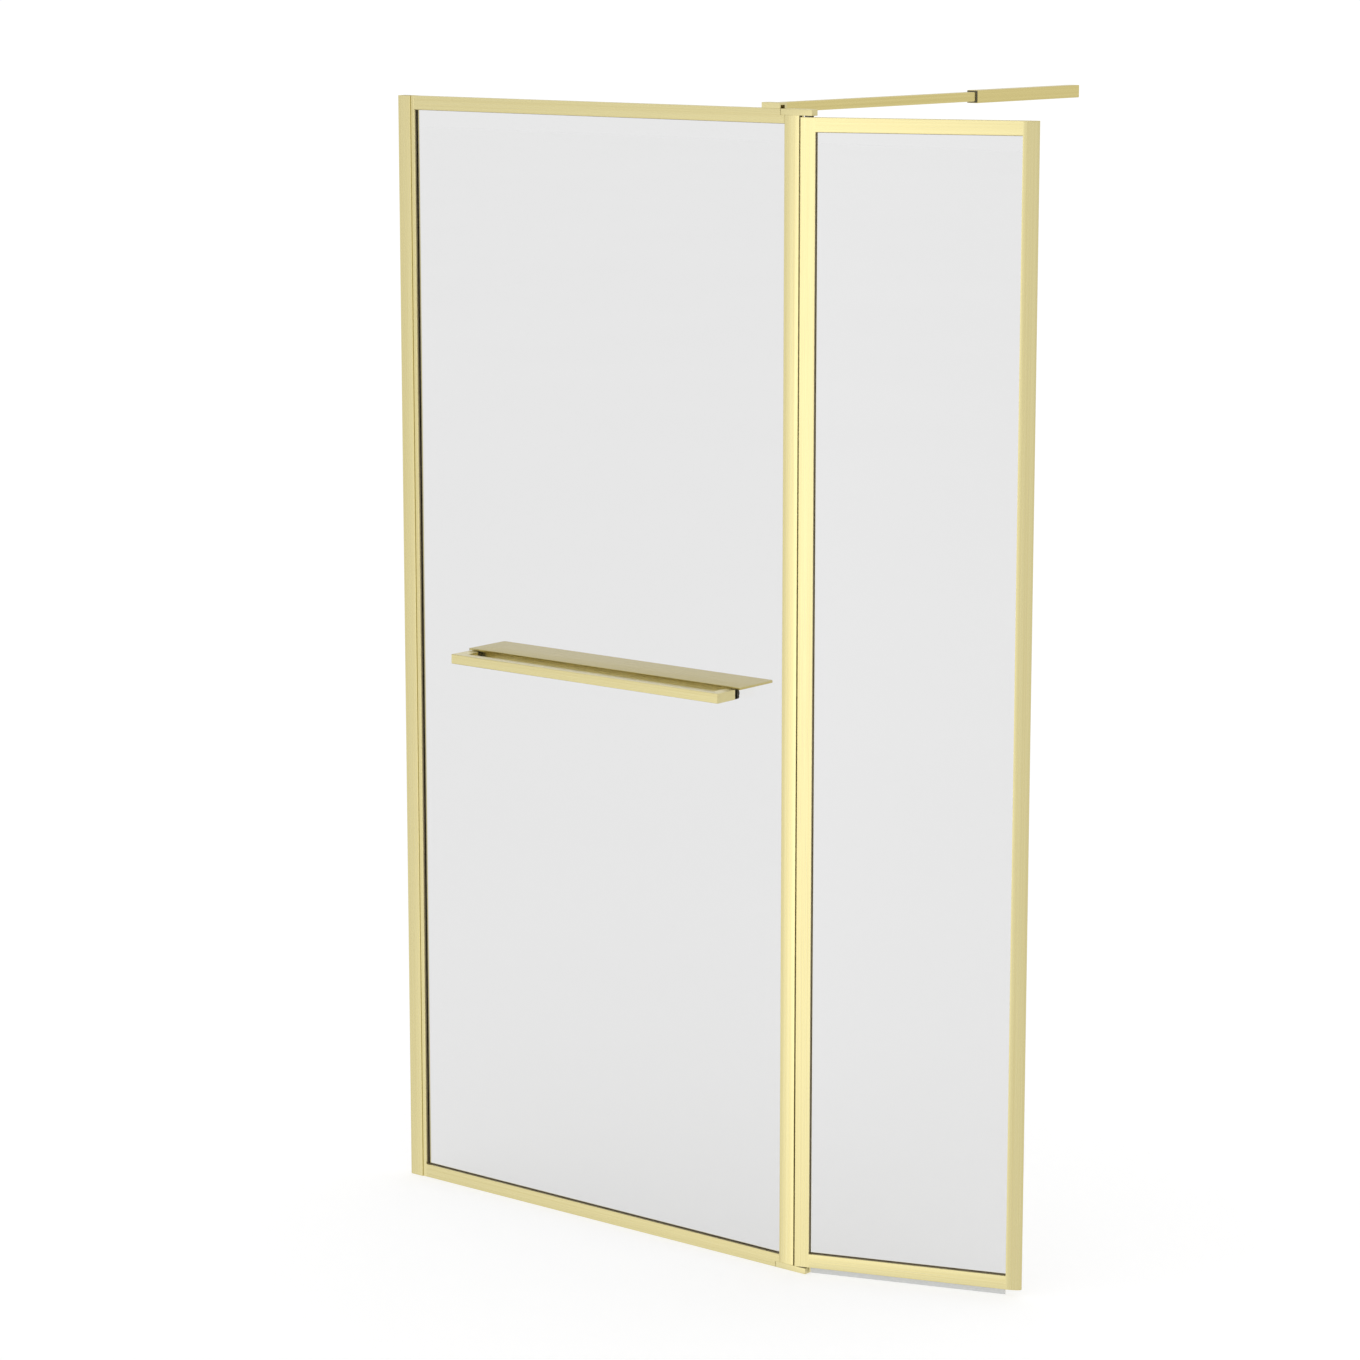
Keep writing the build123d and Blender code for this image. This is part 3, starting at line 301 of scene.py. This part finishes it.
# Materials
def new_material(name):
    """Empty material with its Principled shader and Object coordinates."""
    material = bpy.data.materials.new(name)
    material.use_nodes = True
    nodes = material.node_tree.nodes
    shader = nodes["Principled BSDF"]
    place = nodes.new("ShaderNodeTexCoord")
    return material, nodes, material.node_tree.links, shader, place


def ramp(nodes, links, source, low, high, first=0.3, last=0.7):
    """Colour that follows a value, from low to high."""
    node = nodes.new("ShaderNodeValToRGB")
    node.color_ramp.elements[0].position = first
    node.color_ramp.elements[1].position = last
    node.color_ramp.elements[0].color = (*low, 1.0)
    node.color_ramp.elements[1].color = (*high, 1.0)
    links.new(source, node.inputs["Fac"])
    return node.outputs["Color"]


def spread(nodes, links, source, low, high, first=0.3, last=0.7):
    """Number that follows a value, from low to high."""
    node = nodes.new("ShaderNodeMapRange")
    node.inputs["From Min"].default_value = first
    node.inputs["From Max"].default_value = last
    node.inputs["To Min"].default_value = low
    node.inputs["To Max"].default_value = high
    links.new(source, node.inputs["Value"])
    return node.outputs["Result"]


def speckled(nodes, links, place, shader, scale, detail, strength, depth):
    """Fine speckle on the Object coordinates, with its bump on the shader."""
    speckle = nodes.new("ShaderNodeGroup")
    speckle.node_tree = speckle_group()
    for name, value in (("Scale", scale), ("Detail", detail), ("Strength", strength), ("Depth", depth)):
        speckle.inputs[name].default_value = value
    links.new(place.outputs["Object"], speckle.inputs["Vector"])
    links.new(speckle.outputs["Normal"], shader.inputs["Normal"])
    return speckle.outputs["Value"]


def brushed_gold(name, direction, light, dark):
    """Anodised aluminium brushed along a direction, between a light and a dark tone."""
    finish = bpy.context.scene.shower_finish
    material, nodes, links, shader, place = new_material(name)
    turn = nodes.new("ShaderNodeMapping")
    turn.inputs["Rotation"].default_value = direction.rotation_difference(UPRIGHT).to_euler()
    links.new(place.outputs["Object"], turn.inputs["Vector"])
    grain = nodes.new("ShaderNodeGroup")
    grain.node_tree = grain_group()
    grain.inputs["Lines"].default_value = finish.grain
    links.new(turn.outputs["Vector"], grain.inputs["Vector"])
    streaks = grain.outputs["Streaks"]
    links.new(
        ramp(nodes, links, grain.outputs["Bands"], dark, light, first=0.25, last=0.6),
        shader.inputs["Base Color"],
    )
    links.new(
        spread(nodes, links, streaks, finish.satin - 0.04, finish.satin + 0.05),
        shader.inputs["Roughness"],
    )
    links.new(grain.outputs["Normal"], shader.inputs["Normal"])
    shader.inputs["Metallic"].default_value = 1.0
    return material


def cast_gold(name):
    """Fine satin coat over a casting."""
    finish = bpy.context.scene.shower_finish
    material, nodes, links, shader, place = new_material(name)
    pores = speckled(
        nodes, links, place, shader, scale=1800.0, detail=2.0, strength=0.15, depth=0.03 * MILLIMETRE,
    )
    cloud = nodes.new("ShaderNodeTexNoise")
    cloud.inputs["Scale"].default_value = 25.0
    links.new(place.outputs["Object"], cloud.inputs["Vector"])
    links.new(
        ramp(nodes, links, cloud.outputs["Fac"], finish.gold_deep, finish.gold, first=0.1, last=0.5),
        shader.inputs["Base Color"],
    )
    links.new(
        spread(nodes, links, pores, finish.satin, finish.satin + 0.1),
        shader.inputs["Roughness"],
    )
    shader.inputs["Metallic"].default_value = 1.0
    return material


def clear_glass(name):
    """Clear toughened glass, with the faint haze of handling."""
    finish = bpy.context.scene.shower_finish
    material, nodes, links, shader, place = new_material(name)
    haze = nodes.new("ShaderNodeTexNoise")
    haze.inputs["Scale"].default_value = 6.0
    haze.inputs["Detail"].default_value = 4.0
    links.new(place.outputs["Object"], haze.inputs["Vector"])
    links.new(
        spread(nodes, links, haze.outputs["Fac"], low=0.0, high=0.02), shader.inputs["Roughness"],
    )
    shader.inputs["Base Color"].default_value = (*finish.glass_tint, 1.0)
    shader.inputs["Transmission Weight"].default_value = 1.0
    shader.inputs["IOR"].default_value = GLASS_INDEX
    return material


def soft_plastic(name, colour, roughness, speckle, grain_scale=900.0):
    """Moulded rubber or plastic with a fine matt texture."""
    material, nodes, links, shader, place = new_material(name)
    texture = speckled(
        nodes, links, place, shader, scale=grain_scale, detail=4.0, strength=0.2,
        depth=0.05 * MILLIMETRE,
    )
    light = [min(1.0, part * (1.0 + speckle)) for part in colour]
    dark = [part * (1.0 - speckle) for part in colour]
    links.new(ramp(nodes, links, texture, dark, light), shader.inputs["Base Color"])
    links.new(
        spread(nodes, links, texture, roughness - 0.08, roughness + 0.08), shader.inputs["Roughness"],
    )
    return material


def bare_metal(name, colour, roughness):
    """Steel or zinc with a fine speckle."""
    material, nodes, links, shader, place = new_material(name)
    marks = speckled(
        nodes, links, place, shader, scale=1200.0, detail=3.0, strength=0.1, depth=0.03 * MILLIMETRE,
    )
    dark = [part * 0.8 for part in colour]
    links.new(ramp(nodes, links, marks, dark, colour), shader.inputs["Base Color"])
    links.new(
        spread(nodes, links, marks, roughness - 0.06, roughness + 0.08), shader.inputs["Roughness"],
    )
    shader.inputs["Metallic"].default_value = 1.0
    return material


# Pieces
def paint(piece, material):
    """Give the whole piece one material."""
    piece.data.materials.clear()
    piece.data.materials.append(material)


def placed(name, shape, material, body):
    """Smoothly shaded piece from a finished bmesh, riding on a body."""
    mesh = bpy.data.meshes.new(name)
    shape.to_mesh(mesh)
    shape.free()
    for face in mesh.polygons:
        face.use_smooth = True
    mesh.set_sharp_from_angle(angle=SMOOTH_ANGLE)
    piece = bpy.data.objects.new(name, mesh)
    bpy.context.scene.collection.objects.link(piece)
    paint(piece, material)
    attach(piece, body)
    return piece


def finished_copy(node, material):
    """Merged, smoothly shaded piece that stands for a CAD node."""
    shape = bmesh.new()
    shape.from_mesh(frame["nodes"][node].data)
    bmesh.ops.remove_doubles(shape, verts=shape.verts, dist=MERGE_DISTANCE)
    bmesh.ops.dissolve_limit(shape, angle_limit=FLAT_ANGLE, verts=shape.verts, edges=shape.edges)
    piece = placed(f"{node}_finish", shape, material, BODY_OF[node])
    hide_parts(node)
    return piece


def softened(piece):
    """Round the hard edges of a gold piece by a hair."""
    edge = piece.modifiers.new("softened edge", "BEVEL")
    edge.width = bpy.context.scene.shower_finish.worn_edge
    edge.segments = 2
    edge.limit_method = "ANGLE"
    edge.angle_limit = EDGE_ANGLE
    edge.harden_normals = True
    return piece


def link_piece(name, shape, material, body):
    """New piece from a bmesh made here, with its faces turned outwards."""
    bmesh.ops.recalc_face_normals(shape, faces=shape.faces)
    return placed(name, shape, material, body)


def frame_opening(place, left, right, low, high):
    """Left, right, lower and upper edge of a frame's opening, in the panel's own directions."""
    inwards = place.inverted()

    def reach(node, axis, largest):
        """How far a node reaches along one of the panel's directions."""
        values = [(inwards @ vertex.co)[axis] for vertex in frame["nodes"][node].data.vertices]
        return max(values) if largest else min(values)

    return (reach(left, 0, True), reach(right, 0, False), reach(low, 2, True), reach(high, 2, False))


class SHOWER_OT_stage(bpy.types.Operator):
    """Camera, floor, backdrop and light"""

    bl_idname = "shower.stage"
    bl_label = "Studio"

    def execute(self, context):
        studio = context.scene.shower_studio
        camera = bpy.data.objects.new("camera", bpy.data.cameras.new("camera"))
        camera.data.lens = studio.lens
        camera.data.sensor_width = SENSOR_WIDTH
        camera.data.clip_end = VIEW_DEPTH
        camera.location = studio.camera_place
        camera.rotation_euler = (math.radians(90.0) - studio.camera_drop, 0.0, studio.camera_turn)
        context.scene.collection.objects.link(camera)
        context.scene.camera = camera
        context.scene.view_settings.view_transform = "Standard"
        self.floor(context, studio)
        self.world(context, studio)
        return {"FINISHED"}

    def floor(self, context, studio):
        """Pale floor under the screen, which its metal doesn't mirror."""
        shape = bmesh.new()
        bmesh.ops.create_grid(shape, x_segments=1, y_segments=1, size=FLOOR_SIZE)
        mesh = bpy.data.meshes.new("floor")
        shape.to_mesh(mesh)
        shape.free()
        floor = bpy.data.objects.new("floor", mesh)
        floor.location.z = -FLOOR_DROP
        material, nodes, links, shader, place = new_material("Pale floor")
        cloud = nodes.new("ShaderNodeTexNoise")
        cloud.inputs["Scale"].default_value = 0.6
        links.new(place.outputs["Object"], cloud.inputs["Vector"])
        links.new(
            ramp(nodes, links, cloud.outputs["Fac"], FLOOR_DARK, FLOOR_LIGHT),
            shader.inputs["Base Color"],
        )
        shader.inputs["Roughness"].default_value = 0.9
        shader.inputs["Specular IOR Level"].default_value = 0.0
        shader.inputs["Emission Color"].default_value = (1.0, 1.0, 1.0, 1.0)
        shader.inputs["Emission Strength"].default_value = studio.floor_glow
        mesh.materials.append(material)
        floor.visible_glossy = False
        context.scene.collection.objects.link(floor)

    def world(self, context, studio):
        """Even surroundings with one broad soft light in front of the screen."""
        world = bpy.data.worlds.new("Studio")
        context.scene.world = world
        world.use_nodes = True
        nodes, links = world.node_tree.nodes, world.node_tree.links
        background = nodes["Background"]
        background.inputs["Color"].default_value = (1.0, 1.0, 1.0, 1.0)
        place = nodes.new("ShaderNodeTexCoord")
        split = nodes.new("ShaderNodeSeparateXYZ")
        links.new(place.outputs["Generated"], split.inputs["Vector"])
        sideways, back, height = split.outputs

        def number(operation, first, second):
            """Result of a sum on two numbers or sockets."""
            node = nodes.new("ShaderNodeMath")
            node.operation = operation
            for socket, value in zip(node.inputs, (first, second)):
                if isinstance(value, float):
                    socket.default_value = value
                else:
                    links.new(value, socket)
            return node.outputs["Value"]

        def step(value, limits):
            """Smooth change from 0 at the first limit to 1 at the second."""
            node = nodes.new("ShaderNodeMapRange")
            node.interpolation_type = "SMOOTHSTEP"
            node.inputs["From Min"].default_value = limits[0]
            node.inputs["From Max"].default_value = limits[1]
            links.new(value, node.inputs["Value"])
            return node.outputs["Result"]

        front = number("MULTIPLY", back, -1.0)
        turn = number("ARCTAN2", sideways, front)
        slant = number("SUBTRACT", height, number("MULTIPLY", turn, LIGHT_SLANT))
        across = number("MULTIPLY", step(turn, LIGHT_LEFT), step(turn, LIGHT_RIGHT))
        upright = number("MULTIPLY", step(height, LIGHT_FOOT), step(slant, LIGHT_TOP))
        softbox = number("MULTIPLY", number("MULTIPLY", across, upright), studio.front_light)
        around = nodes.new("ShaderNodeMapRange")
        around.inputs["From Min"].default_value = AMBIENT_CHANGE[0]
        around.inputs["From Max"].default_value = AMBIENT_CHANGE[1]
        around.inputs["To Min"].default_value = AMBIENT_BACK
        around.inputs["To Max"].default_value = AMBIENT_FRONT
        links.new(front, around.inputs["Value"])
        light = number("ADD", softbox, around.outputs["Result"])
        path = nodes.new("ShaderNodeLightPath")
        seen = number("MAXIMUM", path.outputs["Is Camera Ray"], path.outputs["Is Transmission Ray"])
        choose = nodes.new("ShaderNodeMix")
        choose.data_type = "FLOAT"
        links.new(seen, choose.inputs["Factor"])
        links.new(light, choose.inputs["A"])
        choose.inputs["B"].default_value = studio.backdrop
        links.new(choose.outputs["Result"], background.inputs["Strength"])


class SHOWER_OT_profiles(bpy.types.Operator):
    """Brushed profiles of the wall channel and of both frames"""

    bl_idname = "shower.profiles"
    bl_label = "Profiles"

    def execute(self, context):
        finish = context.scene.shower_finish
        upright = brushed_gold("Brushed upright", UPRIGHT, finish.gold, finish.gold_deep)
        level = brushed_gold("Brushed rail", ALONG_PANEL, finish.gold, finish.gold_deep)
        turned = brushed_gold("Brushed pivot rail", PANEL_ALONG, finish.gold, finish.gold_deep)
        for node in ("wall_profile", "wall_stile", "corner_post", "hinge_stile", "closing_stile"):
            softened(finished_copy(node, upright))
        for node in ("top_rail", "bottom_rail"):
            softened(finished_copy(node, level))
        for node in ("pivot_top_rail", "pivot_bottom_rail"):
            softened(finished_copy(node, turned))
        return {"FINISHED"}


class SHOWER_OT_castings(bpy.types.Operator):
    """Pivot brackets and blocks, brace clamp, end caps and adjuster caps"""

    bl_idname = "shower.castings"
    bl_label = "Castings"

    def execute(self, context):
        material = cast_gold("Cast gold")
        for node in ("upper_pivot_bracket", "lower_pivot_bracket", "upper_pivot_block",
                     "lower_pivot_block", "brace_clamp", "closing_stile_caps", "adjuster_caps"):
            softened(finished_copy(node, material))
        return {"FINISHED"}


class SHOWER_OT_brace(bpy.types.Operator):
    """Telescopic brace and the piece that holds it to the wall"""

    bl_idname = "shower.brace"
    bl_label = "Brace"

    def execute(self, context):
        finish = context.scene.shower_finish
        material = brushed_gold("Brushed brace", ALONG_BRACE, finish.gold_shade, finish.gold_shade_deep)
        for node in ("brace_inner_bar", "brace_outer_tube", "brace_wall_socket"):
            softened(finished_copy(node, material))
        return {"FINISHED"}


class SHOWER_OT_glass(bpy.types.Operator):
    """Both panes"""

    bl_idname = "shower.glass"
    bl_label = "Glass"

    def execute(self, context):
        material = clear_glass("Clear glass")
        for node in ("fixed_glass", "pivot_glass"):
            finished_copy(node, material)
        return {"FINISHED"}


class SHOWER_OT_rubber(bpy.types.Operator):
    """Gaskets, pads and washers"""

    bl_idname = "shower.rubber"
    bl_label = "Rubber"

    def execute(self, context):
        finish = context.scene.shower_finish
        material = soft_plastic("Rubber", finish.rubber, roughness=0.62, speckle=0.2)
        for node, slot in SLOT_OF.items():
            if slot == "black_rubber":
                finished_copy(node, material)
        return {"FINISHED"}


class SHOWER_OT_lips(bpy.types.Operator):
    """Rounded rubber lips that close the frames against both faces of the glass"""

    bl_idname = "shower.lips"
    bl_label = "Gasket lips"

    def execute(self, context):
        finish = context.scene.shower_finish
        # Painted shade: the lip colour copies the shaded gold channel beside the glass, laid on a real rubber lip.
        material = soft_plastic("Lip rubber with painted channel shade", finish.lip_rubber_and_channel_shade, roughness=0.5, speckle=0.15)
        fixed = frame_opening(Matrix(), "wall_stile", "corner_post", "bottom_rail", "top_rail")
        turned = Matrix.Translation((PIVOT.x, PIVOT.y, 0.0)) @ Matrix.Rotation(PANEL_TURN, 4, "Z")
        pivot = frame_opening(turned, "hinge_stile", "closing_stile", "pivot_bottom_rail", "pivot_top_rail")
        for label, place, opening, glass in (
            ("fixed", Matrix(), fixed, "fixed_glass"),
            ("pivot", turned, pivot, "pivot_glass"),
        ):
            for side, name in ((-1, "outer"), (1, "inner")):
                self.lip(f"{label}_{name}_lip", place, opening, side, glass, material)
        return {"FINISHED"}

    def lip(self, name, place, opening, side, glass, material):
        """One lip all round the opening, mitred at its corners."""
        stand = bpy.context.scene.shower_seals.lip
        section = [(-LIP_ROOT, GLASS_HALF), (-LIP_ROOT, GLASS_HALF + LIP_WIDTH)]
        for step in range(LIP_STEPS + 1):
            turn = math.radians(90.0 * step / LIP_STEPS)
            section.append((stand * math.sin(turn), GLASS_HALF + LIP_WIDTH * math.cos(turn)))
        left, right, low, high = opening
        corners = ((left, low, 1, 1), (right, low, -1, 1), (right, high, -1, -1), (left, high, 1, -1))
        shape = bmesh.new()
        rings = []
        for x, z, across, up in corners:
            rings.append([
                shape.verts.new(place @ Vector((x + across * out, side * depth, z + up * out)))
                for out, depth in section
            ])
        count = len(section)
        for ring, following in zip(rings, rings[1:] + rings[:1]):
            for here in range(count):
                there = (here + 1) % count
                shape.faces.new((ring[here], ring[there], following[there], following[here]))
        link_piece(name, shape, material, BODY_OF[glass])


class SHOWER_OT_fixings(bpy.types.Operator):
    """Screws, pins, nylon pieces and corner cleats"""

    bl_idname = "shower.fixings"
    bl_label = "Fixings"

    def execute(self, context):
        finish = context.scene.shower_finish
        materials = {
            "steel": bare_metal("Steel", finish.steel, roughness=0.3),
            "zinc": bare_metal("Zinc", ZINC, roughness=0.45),
            "dark_nylon": soft_plastic("Dark nylon", finish.nylon, roughness=0.45, speckle=0.15),
        }
        coated = ("upper_pivot_block", "lower_pivot_block")
        for node, slot in SLOT_OF.items():
            if slot in materials and node not in coated:
                finished_copy(node, materials[slot])
        return {"FINISHED"}


class SHOWER_OT_seals(bpy.types.Operator):
    """Brush seal of the post and vinyl seal under the pivoting panel"""

    bl_idname = "shower.seals"
    bl_label = "Seals"

    def execute(self, context):
        finish = context.scene.shower_finish
        self.brush(context, soft_plastic("Brush pile", finish.pile, roughness=0.8, speckle=0.4))
        vinyl = soft_plastic("Seal vinyl", finish.vinyl, roughness=0.35, speckle=0.05, grain_scale=300.0)
        finished_copy("bottom_seal", vinyl)
        return {"FINISHED"}

    def brush(self, context, material):
        """Woven base with rows of small leaning tufts, in place of the plain seal."""
        seals = context.scene.shower_seals
        low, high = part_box("post_seal")
        base_front = low[0] + BRUSH_BASE
        length = high[2] - low[2]
        shape = bmesh.new()
        base = Matrix.Translation(((low[0] + base_front) / 2, 0.0, (low[2] + high[2]) / 2))
        bmesh.ops.create_cube(
            shape, size=1.0,
            matrix=base @ Matrix.Diagonal((base_front - low[0], high[1] - low[1], length, 1.0)),
        )
        bmesh.ops.bevel(
            shape, geom=shape.edges[:], offset=BRUSH_EDGE, segments=2, profile=0.5, affect="EDGES",
            material=-1,
        )
        chance = random.Random(TUFT_SEED)
        count = int(length / seals.bristle_pitch)
        reach = high[0] - base_front
        for row in range(seals.bristle_rows):
            y = (row - (seals.bristle_rows - 1) / 2) * TUFT_ROW_PITCH
            for place in range(count):
                z = low[2] + (place + 0.5) * length / count
                lean = Vector((reach, chance.uniform(-1, 1) * TUFT_LEAN, chance.uniform(-1, 1) * TUFT_LEAN))
                foot = Vector((base_front, y, z))
                tip = foot + lean * chance.uniform(TUFT_SHORTEST, 1.0)
                self.tuft(shape, foot, tip)
        piece = link_piece("post_seal_brush", shape, material, BODY_OF["post_seal"])
        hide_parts("post_seal")

    def tuft(self, shape, foot, tip):
        """Bundle of fibres: a four-sided spike, blunt at its tip."""
        sides = (Vector((0, 1, 0)), Vector((0, 0, 1)), Vector((0, -1, 0)), Vector((0, 0, -1)))
        lower = [shape.verts.new(foot + side * TUFT_RADIUS * TUFT_FOOT) for side in sides]
        upper = [shape.verts.new(tip + side * TUFT_RADIUS) for side in sides]
        for here in range(len(sides)):
            there = (here + 1) % len(sides)
            shape.faces.new((lower[here], lower[there], upper[there], upper[here]))
        shape.faces.new(upper)
        shape.faces.new(lower[::-1])


class SHOWER_OT_towel_bar(bpy.types.Operator):
    """Towel bar and shelf"""

    bl_idname = "shower.towel_bar"
    bl_label = "Towel bar and shelf"

    def execute(self, context):
        finish = context.scene.shower_finish
        bar = brushed_gold("Brushed towel bar", ALONG_PANEL, finish.gold, finish.gold_deep)
        shelf = brushed_gold("Brushed shelf", ALONG_PANEL, finish.gold_shade, finish.gold_shade_deep)
        softened(finished_copy("towel_bar", bar))
        softened(finished_copy("shelf_plate", shelf))
        return {"FINISHED"}


class SHOWER_PT_panel(bpy.types.Panel):
    """Panel that lists the steps and settings"""

    bl_label = "Shower screen"
    bl_idname = "SHOWER_PT_panel"
    bl_space_type = "VIEW_3D"
    bl_region_type = "UI"
    bl_category = "Shower screen"

    def draw(self, context):
        for operator in OPERATORS:
            self.layout.operator(operator.bl_idname)
        scene = context.scene
        for settings in (scene.shower_finish, scene.shower_seals, scene.shower_studio):
            for name in settings.__annotations__:
                self.layout.prop(settings, name)


OPERATORS = (
    SHOWER_OT_stage,
    SHOWER_OT_profiles,
    SHOWER_OT_castings,
    SHOWER_OT_brace,
    SHOWER_OT_glass,
    SHOWER_OT_rubber,
    SHOWER_OT_lips,
    SHOWER_OT_seals,
    SHOWER_OT_towel_bar,
    SHOWER_OT_fixings,
)
SETTINGS = (ShowerFinish, ShowerSeals, ShowerStudio)


def register():
    """Register the settings, the operators and the panel."""
    for item in (*SETTINGS, *OPERATORS, SHOWER_PT_panel):
        bpy.utils.register_class(item)
    bpy.types.Scene.shower_finish = PointerProperty(type=ShowerFinish)
    bpy.types.Scene.shower_seals = PointerProperty(type=ShowerSeals)
    bpy.types.Scene.shower_studio = PointerProperty(type=ShowerStudio)


def unregister():
    """Take everything away again."""
    del bpy.types.Scene.shower_studio
    del bpy.types.Scene.shower_seals
    del bpy.types.Scene.shower_finish
    for item in reversed((*SETTINGS, *OPERATORS, SHOWER_PT_panel)):
        bpy.utils.unregister_class(item)


def main():
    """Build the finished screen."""
    register()
    for operator in OPERATORS:
        group, name = operator.bl_idname.split(".")
        getattr(getattr(bpy.ops, group), name)()


if __name__ == "__main__":
    main()
